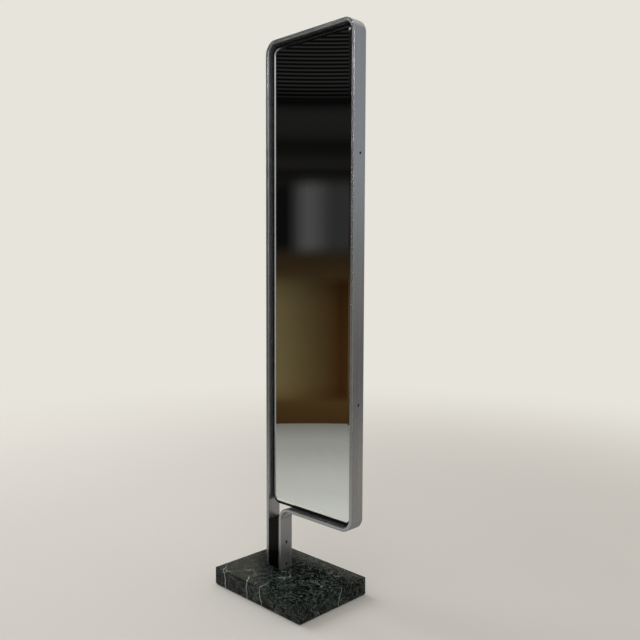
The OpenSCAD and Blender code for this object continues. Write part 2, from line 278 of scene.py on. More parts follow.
def bar_line():
    """The bar's middle line: straight stretches and quarter bends one after another. A bend's points are
    its centre + radius (cos, sin) of an angle that turns evenly. Returns places, left-hand normals, lengths
    and, for each screw hole, its length along the bar, its place and the way ahead."""
    side_low = ring_top - outer_r - RING_CLEAR - outer_r
    mid_r, leg_r = CORNER_R + BAR_T / 2, LEG_BEND_R + BAR_T / 2
    bottom = band_high.x - outer_r - leg_bend_x
    top = band_high.x - band_low.x - 2 * outer_r
    steps = [
        ("straight", ring_top - outer_r - BASE_TOP, leg_screw_z + panel_screw_z),
        ("bend", mid_r, -1),
        ("straight", top, []),
        ("bend", mid_r, -1),
        ("straight", side_low, panel_screw_z[::-1]),
        ("bend", mid_r, -1),
        ("straight", bottom, []),
        ("bend", leg_r, 1),
        ("straight", leg_bend_z - BASE_TOP, leg_screw_z[::-1]),
    ]
    here, heading, length = np.array([band_low.x + BAR_T / 2, BASE_TOP]), np.pi / 2, 0.0
    places, headings, lengths, holes = [here[None]], [[heading]], [[0.0]], []
    for kind, size, extra in steps:
        ahead = np.array([np.cos(heading), np.sin(heading)])
        if kind == "straight":
            marks = [abs(z - here[1]) for z in extra]
            edges = sorted(m + s * HOLE_REACH for m in marks for s in (-1, 1))
            walked = np.array(edges + [size])
            places.append(here + walked[:, None] * ahead)
            headings.append(np.full(len(walked), heading))
            lengths.append(length + walked)
            holes += [(length + m, here + m * ahead, ahead) for m in marks]
            here, length = here + size * ahead, length + size
        else:
            left = np.array([-ahead[1], ahead[0]])
            centre = here + extra * size * left
            turned = np.linspace(0, np.pi / 2, BEND_STEPS + 1)[1:]
            angle = heading - extra * np.pi / 2 + extra * turned
            places.append(centre + size * np.stack([np.cos(angle), np.sin(angle)], axis=1))
            headings.append(heading + extra * turned)
            lengths.append(length + size * turned)
            here, heading, length = places[-1][-1], heading + extra * np.pi / 2, length + size * np.pi / 2
    places, headings, lengths = (np.concatenate(values) for values in (places, headings, lengths))
    lefts = np.stack([-np.sin(headings), np.cos(headings)], axis=1)
    return places, lefts, lengths, holes


bar_places, bar_lefts, bar_lengths, bar_holes = bar_line()
print(f"bar {bar_lengths[-1]:.3f} m long, {len(bar_holes)} screw holes, {len(bar_places)} stations")

# %% Carry the section along the line
SECTION_STEPS = 6
HOLE_CLEAR = 0.0004
MOUTH_CHAMFER = 0.0002
HEAD_SINK = 0.0004


def bent_bar():
    """The swept bar. A point is place + a left + y (0, 1, 0) for the section's point (a, y), and its normal
    is turned the same way. Each screw hole is a counterbore with a chamfered mouth and a plain bore."""
    skin = Skin()
    section, section_normals = rounded_outline(BAR_T, BAR_DEPTH, EDGE_R, SECTION_STEPS)
    round_lengths = lengths_along(section)
    across = np.array([0.0, 1.0, 0.0])
    places, lefts = np.insert(bar_places, 1, MID_Y, axis=1), np.insert(bar_lefts, 1, 0, axis=1)
    points = places[:, None] + section[None, :, :1] * lefts[:, None] + section[None, :, 1:] * across
    normals = section_normals[None, :, :1] * lefts[:, None] + section_normals[None, :, 1:] * across
    maps = np.stack(np.meshgrid(bar_lengths, round_lengths, indexing="ij"), axis=2)
    outer_column, inner_column = 4 * SECTION_STEPS + 3, 2 * SECTION_STEPS + 1
    keep = np.ones((len(places) - 1, len(section) - 1), bool)
    for length, place, ahead in bar_holes:
        row = np.argmin(np.abs(bar_lengths - (length - HOLE_REACH)))
        keep[row, [outer_column, inner_column]] = False
        at_leg = place[1] < RING_CLEAR
        y = MID_Y if at_leg else panel_screw_y
        head, thread = (LEG_HEAD_D, LEG_THREAD_D) if at_leg else (PANEL_HEAD_D, PANEL_THREAD_D)
        centre, along = np.insert(place, 1, y), np.insert(ahead, 1, 0)
        left = np.array([-ahead[1], 0, ahead[0]])
        wall, plain = head / 2 + HOLE_CLEAR, thread / 2 + HOLE_CLEAR
        mouth = wall + MOUTH_CHAMFER
        depth = thread + HEAD_SINK
        half = BAR_DEPTH / 2 - EDGE_R
        low, high = MID_Y - half - y, MID_Y + half - y
        outer_map = [length, round_lengths[outer_column] + half + y - MID_Y]
        inner_map = [length, round_lengths[inner_column] + half - y + MID_Y]
        for side, radius, map_at in ((1, mouth, outer_map), (-1, plain, inner_map)):
            pierced_flat(skin, centre + side * BAR_T / 2 * left, along, across, side * left, HOLE_REACH,
                         low, high, radius, map_at, side)
        stations = [(mouth, 0), (wall, MOUTH_CHAMFER), (wall, depth), (plain, depth), (plain, BAR_T)]
        bore(skin, centre + BAR_T / 2 * left, -left, along, stations)
    skin.grid(points, normals, maps, keep)
    for end in (0, -1):
        skin.polygon(points[end, :-1], np.array([0.0, 0.0, -1.0]), section[:-1] + [bar_lengths[end], 0])
    return skin.build("bent_bar")


bar = bent_bar()
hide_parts("frame_band")

# %% [markdown]
# ## Plates: the black board and the bevelled mirror
#
# Both are plates with round corners. A plate's edge is a short profile of insets and depths, carried round
# the outline: at an inset, the outline is the same rounded rectangle, smaller and with a smaller corner
# radius. The board has eased arrises. The mirror has an upright edge and then a wide flat bevel, which
# reflects another part of the room than the face does: the bright line down its left side.

# %% Carry an edge profile round an outline
CORNER_STEPS = 32


def plate(skin, box_low, box_high, radius, profile, holes=()):
    """A plate that fills a box and faces -Y. The profile is a list of strips, each two stations (inset,
    depth, outward share, forward share of the normal) and a finish. A point is the inset outline's point,
    raised by depth towards -Y. Holes are (height, depth from the back, radius, length) bores in both upright
    edges."""
    low, high = np.array(box_low), np.array(box_high)
    centre = (low + high) / 2
    centre[1] = high[1]
    width, _, height = high - low
    holes = [(z - centre[2], *sizes) for z, *sizes in holes]
    marks = [z + s * HOLE_REACH / 2 for z, _, _, _ in holes for s in (-1, 1)]

    def ring(inset, depth, outward, forward):
        size = width - 2 * inset, height - 2 * inset
        flat, out = rounded_outline(*size, radius - inset, CORNER_STEPS, marks)
        points = centre + np.insert(flat, 1, -depth, axis=1)
        return points, np.insert(outward * out, 1, -forward, axis=1), lengths_along(flat)

    walked = 0.0
    for first, second, finish in profile:
        (p0, n0, u0), (p1, n1, u1) = ring(*first), ring(*second)
        ahead = walked + math.hypot(second[0] - first[0], second[1] - first[1])
        maps = [np.insert(u[:, None], 1, w, axis=1) for u, w in ((u0, walked), (u1, ahead))]
        walked = ahead
        keep = np.ones((1, len(p0) - 1), bool)
        if holes and first[0] == second[0] == 0:
            left_start, right_start = 2 * CORNER_STEPS + 2, 4 * CORNER_STEPS + 4 + len(marks)
            starts = [s + 2 * k for s in (left_start, right_start) for k in range(len(holes))]
            keep[0, starts] = False
            for z, depth, r, length in holes:
                for side in (-1, 1):
                    mouth = centre + [side * width / 2, -depth, z]
                    axis = np.array([-side, 0.0, 0.0])
                    up, forward = np.array([0.0, 0.0, 1.0]), np.array([0.0, -1.0, 0.0])
                    pierced_flat(skin, mouth, up, forward, -axis, HOLE_REACH / 2, first[1] - depth,
                                 second[1] - depth, r, [z, depth], 1)
                    bore(skin, mouth, axis, up, [(r, 0), (r, length)], blind=True)
        skin.grid(np.array([p0, p1]), np.array([n0, n1]), np.array(maps), keep, finish)
    for forward, station, finish in ((-1, profile[0][0], profile[0][2]), (1, *profile[-1][1:])):
        face = ring(*station)[0][:-1]
        skin.polygon(face, np.array([0.0, -forward, 0.0]), face[:, [0, 2]], finish)


def eased_edge(thickness, radius, steps):
    """The profile of an edge with rounded arrises: a quarter circle, an upright and a quarter circle."""
    turned = [(math.cos(a), math.sin(a)) for a in np.linspace(-np.pi / 2, 0, steps + 1)]
    lower = [(radius * (1 - c), radius * (1 + s), c, s) for c, s in turned]
    upper = [(i, thickness - d, o, -f) for i, d, o, f in lower[::-1]]
    stations = [(0.0 if abs(i) < MERGE else i, d, o, f) for i, d, o, f in lower + upper]
    return [(a, b, 0) for a, b in zip(stations, stations[1:])]


# %% The black board, with bores for its threaded inserts
BOARD_R = CORNER_R - 0.0015
BOARD_ARRIS, ARRIS_STEPS = 0.0008, 4
INSERT_BORE_R = 0.00405
INSERT_LEN = 0.012


def black_board():
    """The board that carries the mirror, its edges eased as lacquered board is."""
    skin = Skin()
    thickness = board_high.y - board_low.y
    holes = [(z, thickness / 2, INSERT_BORE_R, INSERT_LEN) for z in panel_screw_z]
    profile = eased_edge(thickness, BOARD_ARRIS, ARRIS_STEPS)
    plate(skin, board_low, board_high, BOARD_R, profile, holes)
    return skin.build("black_board_panel")


board = black_board()
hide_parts("backing_board")

# %% The bevelled mirror
GLASS_R = 0.018
BEVEL_W = 0.008
BEVEL_CUT = 0.0012
GROUND_EDGE = 0.0003


def bevelled_mirror():
    """The glass: painted back, ground upright edge, then the bevel, whose normal leans outwards by the
    angle whose tangent is its cut over its width, and the face."""
    skin = Skin()
    thickness = glass_high.y - glass_low.y
    lean = math.atan2(BEVEL_CUT, BEVEL_W)
    out, forward = math.sin(lean), math.cos(lean)
    slant = math.sqrt(0.5)
    rim = thickness - BEVEL_CUT
    profile = [
        ((GROUND_EDGE, 0.0, slant, -slant), (0.0, GROUND_EDGE, slant, -slant), 1),
        ((0.0, GROUND_EDGE, 1.0, 0.0), (0.0, rim, 1.0, 0.0), 1),
        ((0.0, rim, out, forward), (BEVEL_W, thickness, out, forward), 0),
    ]
    plate(skin, glass_low, glass_high, GLASS_R, profile)
    return skin.build("bevelled_mirror_plate")


mirror = bevelled_mirror()
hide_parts("mirror_glass")

# %% [markdown]
# ## Small helpers for finishes
#
# A finish is a tree of nodes that ends in one Principled shader. Patterns read Object coordinates, which
# are metres in this model, or the map that the new pieces carry.

# %% Helpers that add nodes
def new_finish(name):
    """A node material and its Principled shader."""
    material = bpy.data.materials.new(name)
    material.use_nodes = True
    return material, material.node_tree, material.node_tree.nodes["Principled BSDF"]


def feed(tree, node, values):
    """Gives a node's sockets, by name or number, each a value or a link."""
    for key, value in values.items():
        if isinstance(value, bpy.types.NodeSocket):
            tree.links.new(value, node.inputs[key])
        else:
            node.inputs[key].default_value = value


def add(tree, kind, inputs=None, **settings):
    """A node of that kind, with its settings and with inputs fed to it."""
    made = tree.nodes.new("ShaderNode" + kind)
    for key, value in settings.items():
        setattr(made, key, value)
    feed(tree, made, inputs or {})
    return made


def mapped(tree, place, scale=(1, 1, 1), turn=(0, 0, 0), shift=(0, 0, 0)):
    """A place stretched, turned and shifted."""
    values = {"Vector": place, "Scale": scale, "Rotation": turn, "Location": shift}
    return add(tree, "Mapping", values).outputs[0]


def object_space(tree, *moves, **named_moves):
    """Object coordinates, in metres, mapped."""
    return mapped(tree, add(tree, "TexCoord").outputs["Object"], *moves, **named_moves)


def piece_map(tree, scale):
    """The map that a new piece carries: length along it and length round it, in metres, stretched."""
    return mapped(tree, add(tree, "UVMap", uv_map="along_piece").outputs[0], scale)


def noise(tree, vector, scale, detail=3.0, rough=0.5, swirl=0.0):
    """Fractal noise from 0 to 1."""
    values = {"Vector": vector, "Scale": scale, "Detail": detail, "Roughness": rough, "Distortion": swirl}
    return add(tree, "TexNoise", values).outputs["Fac"]


def spread(tree, value, low, high, to_low=0.0, to_high=1.0):
    """A value from low to high, changed to run from to_low to to_high and held there outside."""
    values = {0: value, 1: low, 2: high, 3: to_low, 4: to_high}
    return add(tree, "MapRange", values).outputs[0]


def ramp(tree, value, *stops):
    """A colour ramp through (place, colour) stops."""
    made = add(tree, "ValToRGB", {0: value})
    stretch = made.color_ramp.elements
    while len(stretch) < len(stops):
        stretch.new(0.5)
    for element, (place, colour) in zip(stretch, stops):
        element.position = place
        element.color = (*colour, 1)
    return made.outputs[0]


def blend(tree, share, under, colour):
    """A link to a colour with another colour laid over it by a share."""
    return add(tree, "Mix", {0: share, 6: under, 7: (*colour, 1)}, data_type="RGBA").outputs[2]


def combine(tree, operation, first, second=0.0):
    """Two numbers joined by a Math node's operation."""
    return add(tree, "Math", {0: first, 1: second}, operation=operation).outputs[0]


def both(tree, first, second):
    """The product of two shares."""
    return combine(tree, "MULTIPLY", first, second)


def join(tree, operation, first, second=(0, 0, 0), result="Vector"):
    """Two vectors joined by a Vector Math node's operation. Some operations give a Value."""
    return add(tree, "VectorMath", {0: first, 1: second}, operation=operation).outputs[result]


def relief(tree, height, distance):
    """A bump from a height between 0 and 1 that stands for so many metres."""
    return add(tree, "Bump", {"Height": height, "Distance": distance, "Strength": 1.0}).outputs[0]


# %% [markdown]
# ## Satin aluminium
#
# The bar has a fine satin finish, drawn along its length. Its streaks are noise stretched hundreds of times
# along the bar, so they run round the bends with the metal, which only works on the bar's own map. Broad
# soft bands and slow clouds keep the long faces from looking printed. The same streaks vary the roughness,
# and a fine bump breaks the reflections up.

# %% Finish the bar
def satin_aluminium():
    """Metal with streaks: the colour and the roughness both follow noise on (length, girth)."""
    material, tree, shader = new_finish("satin_aluminium_finish")
    fine = noise(tree, piece_map(tree, (4, 1800, 1)), 1.0, 2.0)
    bands = noise(tree, piece_map(tree, (0.8, 140, 1)), 1.0, 2.0)
    clouds = noise(tree, object_space(tree), 7.0, 3.0)
    grain = combine(tree, "ADD", both(tree, fine, 0.5), both(tree, bands, 0.5))
    smudged = combine(tree, "ADD", grain, both(tree, clouds, 0.6))
    feed(tree, shader, {
        "Base Color": ramp(tree, grain, (0.32, (0.355, 0.36, 0.37)), (0.68, (0.41, 0.415, 0.425))),
        "Metallic": 0.88, "Roughness": spread(tree, smudged, 0.5, 1.1, 0.22, 0.32),
        "Normal": relief(tree, grain, 0.000015)})
    return material


bar.data.materials.append(satin_aluminium())

# %% [markdown]
# ## Black lacquer and the black board
#
# The core between the legs is lacquered steel: nearly black, satin, with the slight orange peel of sprayed
# paint. The board behind the mirror is lacquered too, but flatter, and its back shows faint wiping marks.

# %% Finish the core and the board
def black_lacquer(name, colour, low, high, peel, shine):
    """Sprayed paint: bumps a few millimetres wide as relief, and a roughness that drifts slowly."""
    material, tree, shader = new_finish(name)
    bumps = noise(tree, object_space(tree), 420.0, 2.0)
    drift = noise(tree, object_space(tree, (2, 1, 6), (0, 0.5, 0)), 3.0, 4.0, 0.6, 1.0)
    lighter = tuple(1.6 * c for c in colour)
    feed(tree, shader, {
        "Base Color": ramp(tree, drift, (0.3, colour), (0.75, lighter)), "Specular IOR Level": shine,
        "Roughness": spread(tree, drift, 0.3, 0.7, low, high), "Normal": relief(tree, bumps, peel)})
    return material


core_finish = black_lacquer("black_lacquer_finish", (0.0010, 0.0010, 0.0013), 0.24, 0.34, 0.00004, 0.07)
board_finish = black_lacquer("black_board_finish", (0.003, 0.003, 0.0035), 0.28, 0.52, 0.00006, 0.12)
board.data.materials.append(board_finish)

# %% [markdown]
# ## The mirror's glass
#
# A mirror is glass with silver on its back. Here the face and the bevel are a polished metal surface with
# the faint green of float glass. The ground edge is its own finish: darker, greener and slightly rough. It
# comes from a function for mottled surfaces, which the small pieces use later.

# %% Finish the mirror
def silvered_face():
    """Polished silver under glass, with the faintest wiping marks in its roughness."""
    material, tree, shader = new_finish("silvered_face_finish")
    wipes = noise(tree, object_space(tree, (3, 1, 9), (0, 0.5, 0)), 2.0, 4.0, 0.6, 1.2)
    feed(tree, shader, {
        "Base Color": ramp(tree, wipes, (0.3, (0.84, 0.865, 0.85)), (0.7, (0.87, 0.89, 0.875))),
        "Metallic": 1.0, "Roughness": spread(tree, wipes, 0.4, 0.8, 0.0, 0.03)})
    return material


def mottled(name, dark, light, low, high, grain, depth, fractal=(2.0, 0.5), metallic=0.0, stretch=(1, 1, 1)):
    """A mottled surface: one noise of the given grain and fractal (detail, roughness) sets the colour from
    dark to light, the roughness from low to high and a relief of the given depth."""
    material, tree, shader = new_finish(name)
    mottle = noise(tree, object_space(tree, stretch), grain, *fractal)
    feed(tree, shader, {
        "Base Color": ramp(tree, mottle, (0.3, dark), (0.7, light)), "Metallic": metallic,
        "Roughness": spread(tree, mottle, 0.3, 0.7, low, high), "Normal": relief(tree, mottle, depth)})
    return material


mirror.data.materials.append(silvered_face())
mirror.data.materials.append(
    mottled("glass_edge_finish", (0.03, 0.075, 0.06), (0.06, 0.13, 0.105), 0.18, 0.35, 900.0, 0.00002))

# %% [markdown]
# ## Polished green stone
#
# The base is a dark green marble: nearly black ground, clouds of green, and a net of pale veins that were
# cracks before they healed. A vein is the thin line where a noise passes through its middle value, or where
# two cells meet. The places that feed those patterns are first bent by another noise, so that no line runs
# straight, and slow masks let the veins fade in and out.

# %% Patterns for stone
SLAB_LOW, SLAB_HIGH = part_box("base_slab")
SHARPNESS = 2.5


def bent_place(tree, amount, scale):
    """Object coordinates pushed about by a noise, so that patterns on them wander."""
    place = object_space(tree)
    push = add(tree, "TexNoise", {"Vector": place, "Scale": scale, "Detail": 4.0}).outputs["Color"]
    centred = join(tree, "SUBTRACT", push, (0.5, 0.5, 0.5))
    return join(tree, "ADD", place, join(tree, "MULTIPLY", centred, (amount, amount, amount)))


def ridge_at(tree, value, middle, width):
    """One where a value is at its middle, falling to nothing a width away."""
    off = combine(tree, "ABSOLUTE", combine(tree, "SUBTRACT", value, middle))
    return spread(tree, off, 0.0, width, 1.0, 0.0)


def contour(tree, value, width):
    """The ridge where a noise is at its middle value, made sharper by a power."""
    return combine(tree, "POWER", ridge_at(tree, value, 0.5, width), SHARPNESS)


def cracks(tree, vector, scale, width):
    """One along the borders of cells, falling to nothing a width away."""
    cells = add(tree, "TexVoronoi", {"Vector": vector, "Scale": scale}, feature="DISTANCE_TO_EDGE")
    return spread(tree, cells.outputs["Distance"], 0.0, width, 1.0, 0.0)


def healed_crack(tree, place, at, back, down, width):
    """One on a wandering sheet through the slab, which shows as a line on every face that it cuts. It meets
    the front arris at x = at, and leans by back and down for each metre from there: the ridge where the dot
    product of the place and the sheet's direction is what it is at the arris."""
    at_arris = at - back * SLAB_LOW.y + down * SLAB_HIGH.z
    return ridge_at(tree, join(tree, "DOT_PRODUCT", place, (1.0, -back, down), "Value"), at_arris, width)


def patches(tree, shift, scale, low, high):
    """A slow mask: one where a noise of its own is above high, nothing below low."""
    return spread(tree, noise(tree, object_space(tree, shift=shift), scale, 2.0), low, high)


def near_face(tree, place, axis, *limits):
    """A mask by one coordinate: its limits are those of spread."""
    return spread(tree, add(tree, "SeparateXYZ", {0: place}).outputs[axis], *limits)


def stone_pit(tree, at, radius):
    """One within a small wandering spot about a point, for a pit where the stone broke out."""
    off = join(tree, "DISTANCE", bent_place(tree, 0.004, 300.0), at, "Value")
    return spread(tree, off, 0.6 * radius, radius, 1.0, 0.0)


# %% Fine marks and white veins
FRONT_CRACKS = ((-0.153, -1.0, 0.22, 0.0024), (-0.043, -0.6, 0.05, 0.0021), (0.023, -0.2, 0.15, 0.0016))
RIGHT_CRACK = (0.025, 1.0, 0.21, 0.0018)
VEIN_SHARE = 0.8


def fine_marks(tree, place, wild):
    """The shares of short strokes, of curls and of a net of cracks, each within slow patches of its own. The
    strokes crowd towards the right."""
    crowded = near_face(tree, wild, "X", -0.12, 0.0, 0.3, 0.85)
    drawn = mapped(tree, wild, (1.0, 1.9, 1.5), (0, 0, 0.7))
    strokes = contour(tree, noise(tree, drawn, 27.0, 3.0, 0.6), 0.034)
    curls = contour(tree, noise(tree, wild, 52.0, 2.0), 0.06)
    net = cracks(tree, place, 24.0, 0.045)
    return (both(tree, strokes, both(tree, crowded, patches(tree, (3, 1, 2), 9.0, 0.26, 0.42))),
            both(tree, curls, patches(tree, (4, 8, 1), 11.0, 0.36, 0.52)),
            both(tree, net, patches(tree, (1, 5, 4), 10.0, 0.42, 0.58)))


def white_veins(tree, place):
    """Broad veins within patches, and the cracks that lie near the front and near the right face."""
    veins = both(tree, contour(tree, noise(tree, place, 8.5, 4.0), 0.012),
                 patches(tree, (7, 2, 9), 14.0, 0.52, 0.66))
    veins = both(tree, veins, VEIN_SHARE)
    near_front = near_face(tree, place, "Y", SLAB_LOW.y + 0.02, SLAB_LOW.y + 0.045, 1.0, 0.0)
    near_right = near_face(tree, place, "X", SLAB_HIGH.x - 0.035, SLAB_HIGH.x - 0.015, 0.0, 0.6)
    for crack, near in [(crack, near_front) for crack in FRONT_CRACKS] + [(RIGHT_CRACK, near_right)]:
        veins = combine(tree, "MAXIMUM", veins, both(tree, healed_crack(tree, place, *crack), near))
    return veins


# %% Lay the stone's patterns over each other
GROUND_STOPS = ((0.42, (0.0006, 0.0010, 0.0012)), (0.57, (0.0018, 0.0032, 0.0032)),
                (0.68, (0.007, 0.0115, 0.0105)), (0.82, (0.018, 0.025, 0.022)))
STROKE_COLOUR, CURL_COLOUR, NET_COLOUR = (0.12, 0.158, 0.137), (0.045, 0.058, 0.050), (0.08, 0.10, 0.105)
VEIN_COLOUR, PIT_COLOUR = (0.42, 0.46, 0.43), (0.002, 0.002, 0.002)
PIT_AT, PIT_R = (SLAB_HIGH.x, 0.096, 0.026), 0.0035


def green_marble():
    """Clouds, then strokes, curls, the net, the veins and one pit over them, each with its share."""
    material, tree, shader = new_finish("green_marble_finish")
    place, wild = bent_place(tree, 0.03, 18.0), bent_place(tree, 0.09, 13.0)
    strokes, curls, net = fine_marks(tree, place, wild)
    veins, pit = white_veins(tree, place), stone_pit(tree, PIT_AT, PIT_R)
    colour = ramp(tree, noise(tree, wild, 15.0, 5.0, 0.6), *GROUND_STOPS)
    for mark, share, over in ((strokes, 1.0, STROKE_COLOUR), (curls, 0.7, CURL_COLOUR),
                              (net, 0.55, NET_COLOUR), (veins, 0.9, VEIN_COLOUR), (pit, 1.0, PIT_COLOUR)):
        colour = blend(tree, both(tree, mark, share), colour, over)
    marks = combine(tree, "MAXIMUM", combine(tree, "MAXIMUM", strokes, net), veins)
    rough = combine(tree, "MAXIMUM", spread(tree, marks, 0.0, 1.0, 0.06, 0.12), both(tree, pit, 0.9))
    height = combine(tree, "SUBTRACT", both(tree, marks, 0.05), pit)
    feed(tree, shader, {"Base Color": colour, "Roughness": rough, "Specular IOR Level": 0.13,
                        "Normal": relief(tree, height, 0.0004)})
    return material


stone_finish = green_marble()

# %% [markdown]
# ## Finishes of the small pieces
#
# Fasteners, inserts and pads differ in colour, gloss and the size of their grain. Each is a mottled surface
# with its own numbers: metals have a coarser fractal than soft materials.

# %% Small metals and soft materials
METAL, SOFT = (4.0, 0.6), (5.0, 0.65)
SHALLOW = 0.00003
zinc = mottled("zinc_plate_finish", (0.42, 0.43, 0.45), (0.62, 0.63, 0.64), 0.25, 0.45, 160.0, SHALLOW,
               METAL, 1.0)
milled = mottled("milled_steel_finish", (0.28, 0.28, 0.29), (0.42, 0.42, 0.43), 0.3, 0.5, 60.0, SHALLOW,
                 METAL, 1.0, (1, 1, 14))
blackened = mottled("blackened_steel_finish", (0.006, 0.006, 0.0065), (0.02, 0.02, 0.021), 0.3, 0.5, 500.0,
                    SHALLOW, METAL, 1.0)
brass = mottled("turned_brass_finish", (0.45, 0.32, 0.12), (0.68, 0.52, 0.24), 0.2, 0.35, 90.0, SHALLOW,
                METAL, 1.0, (30, 1, 1))
felt = mottled("felt_finish", (0.008, 0.008, 0.009), (0.03, 0.03, 0.031), 0.9, 1.0, 1400.0, 0.0006, SOFT)
nylon = mottled("nylon_finish", (0.015, 0.015, 0.016), (0.028, 0.028, 0.03), 0.5, 0.6, 700.0, SHALLOW, SOFT)
rubber = mottled("rubber_finish", (0.012, 0.012, 0.012), (0.03, 0.03, 0.03), 0.75, 0.85, 900.0, 0.00006, SOFT)
tape = mottled("foam_tape_finish", (0.5, 0.5, 0.47), (0.68, 0.68, 0.65), 0.8, 0.9, 1200.0, 0.00008, SOFT)

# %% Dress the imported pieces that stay
FINISHES = {
    "base_slab": stone_finish, "base_felt": felt,
    "base_clamp_plate": zinc, "base_washers": zinc, "base_bolts": zinc,
    "post_foot_block": milled, "post_core_tube": core_finish, "post_core_lid": core_finish,
    "leg_screws_left": blackened, "leg_screws_right": blackened,
    "panel_screws_left": blackened, "panel_screws_right": blackened,
    "board_inserts": brass, "board_spacers": nylon, "board_rest_pads": rubber, "mirror_tape": tape,
}
for node_name, finish in FINISHES.items():
    for material_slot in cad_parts[node_name].material_slots:
        material_slot.material = finish
print("dressed", len(FINISHES), "packed pieces")

# %% [markdown]
# ## The stage
#
# A mirror shows what stands opposite, so half of its look is made off the set. The floor is a large pale
# disc that turns into the backdrop's colour far away. A photographer hangs cloths about a mirror, so that
# the glass reads dark above the floor, and lays mats, so that the floor doesn't glare in the glass and in
# the bar's side. Here three cloths and two mats are glowing sheets that only reflections see, so what
# they show is painted reflection: they cast no shadow and take no light from the object. Each glows with a
# tone at every point, worked out from its angle and height or distance, and these tones hold painted
# light, shade and highlights, because an even cloth would leave the glass looking painted.

# %% The floor
BACKDROP = (0.80, 0.775, 0.71)
FLOOR = (0.62, 0.605, 0.59)
FLOOR_R = 14.0
FADE_FROM, FADE_TO = 0.9, 4.6


def grid_object(name, points, material):
    """A mesh from a (rows, columns, 3) grid of points."""
    rows, columns = points.shape[:2]
    quads = grid_corners(np.arange(rows * columns).reshape(rows, columns)).reshape(-1, 4)
    mesh = bpy.data.meshes.new(name)
    mesh.from_pydata(points.reshape(-1, 3), [], quads)
    mesh.materials.append(material)
    sheet = placed(name, mesh)
    return sheet


def round_line(centre, away, turn, height):
    """Points at a distance and an angle from an upright line. Angles are degrees counted from +X."""
    angle = np.radians(turn)
    return np.stack([centre[0] + away * np.cos(angle), centre[1] + away * np.sin(angle), height], axis=2)


def floor_material():
    """Matt floor near the object, blended into a shadeless backdrop colour with distance."""
    material, tree, shader = new_finish("floor_finish")
    feed(tree, shader, {"Base Color": (*FLOOR, 1), "Roughness": 0.85, "Specular IOR Level": 0.2})
    far = join(tree, "LENGTH", object_space(tree), result="Value")
    fade = add(tree, "MapRange", {0: far, 1: FADE_FROM, 2: FADE_TO}, interpolation_type="SMOOTHERSTEP")
    glow = add(tree, "Emission", {"Color": (*BACKDROP, 1)})
    mixed = add(tree, "MixShader", {0: fade.outputs[0], 1: shader.outputs[0], 2: glow.outputs[0]})
    feed(tree, tree.nodes["Material Output"], {"Surface": mixed.outputs[0]})
    return material


floor_turn, floor_away = np.meshgrid(np.linspace(0, 360, 97), np.linspace(0.001, FLOOR_R, 24))
grid_object("floor", round_line((0, 0), floor_away, floor_turn, 0 * floor_away), floor_material())
print("floor disc of", FLOOR_R, "m, fading into the backdrop from", FADE_FROM, "to", FADE_TO, "m")


# %% Glowing sheets that only reflections see, painted reflections
def painted_reflection_material():
    """A glow in the tone that the sheet carries at each point: a painted reflection, not a lamp."""
    material, tree, _ = new_finish("painted_reflection_glow")
    tree.nodes.clear()
    tone = add(tree, "VertexColor", layer_name="tone").outputs["Color"]
    glow = add(tree, "Emission", {"Color": tone})
    add(tree, "OutputMaterial", {"Surface": glow.outputs[0]})
    return material


# One glowing material paints every reflection sheet.
PAINTED_REFLECTION_GLOW = painted_reflection_material()


def smooth(value, low, high):
    """0 below low, 1 above high and 3 s s - 2 s s s between, where s is the share of the way."""
    s = np.clip((value - low) / (high - low), 0, 1)
    return s * s * (3 - 2 * s)


def between(value, rise, full, fall, gone):
    """0 outside, 1 from full to fall, and smooth on both sides."""
    return smooth(value, rise, full) * (1 - smooth(value, fall, gone))


def over(tone, share, colour):
    """A tone with a colour laid over it, by a share at each point."""
    return tone + share[..., None] * (colour - tone)


def by_stops(value, stops):
    """Colours read off a line of stops, each a value and its red, green and blue."""
    places, *channels = np.array(stops).T
    return np.stack([np.interp(value, places, channel) for channel in channels], axis=-1)


def painted_reflection_sheet(name, points, tones):
    """A grid that glows with a tone at each point, hidden from everything but reflections: a painted
    reflection.
    """
    sheet = grid_object(name, points, PAINTED_REFLECTION_GLOW)
    layer = sheet.data.color_attributes.new(name="tone", type="FLOAT_COLOR", domain="POINT")
    layer.data.foreach_set("color", np.insert(tones, 3, 1, axis=2).ravel())
    for ray in ("camera", "diffuse", "shadow", "transmission", "volume_scatter"):
        setattr(sheet, "visible_" + ray, False)


def hung_painted_reflection_cloth(name, centre, radius, turns, heights, tone_of):
    """Part of an upright cylinder that glows as a painted reflection. tone_of gives the colours from angle and
    height.
    """
    turn, height = np.meshgrid(turns, heights)
    painted_reflection_sheet(name, round_line(centre, radius, turn, height), tone_of(turn, height))


MAT_HEIGHT = 0.0015


def laid_painted_reflection_mat(name, centre, turns, aways, stops):
    """A flat ring sector just over the floor that glows as a painted reflection, its tone by the distance from
    the centre.
    """
    turn, away = np.meshgrid(turns, aways)
    painted_reflection_sheet(name, round_line(centre, away, turn, 0 * away + MAT_HEIGHT), by_stops(away, stops))


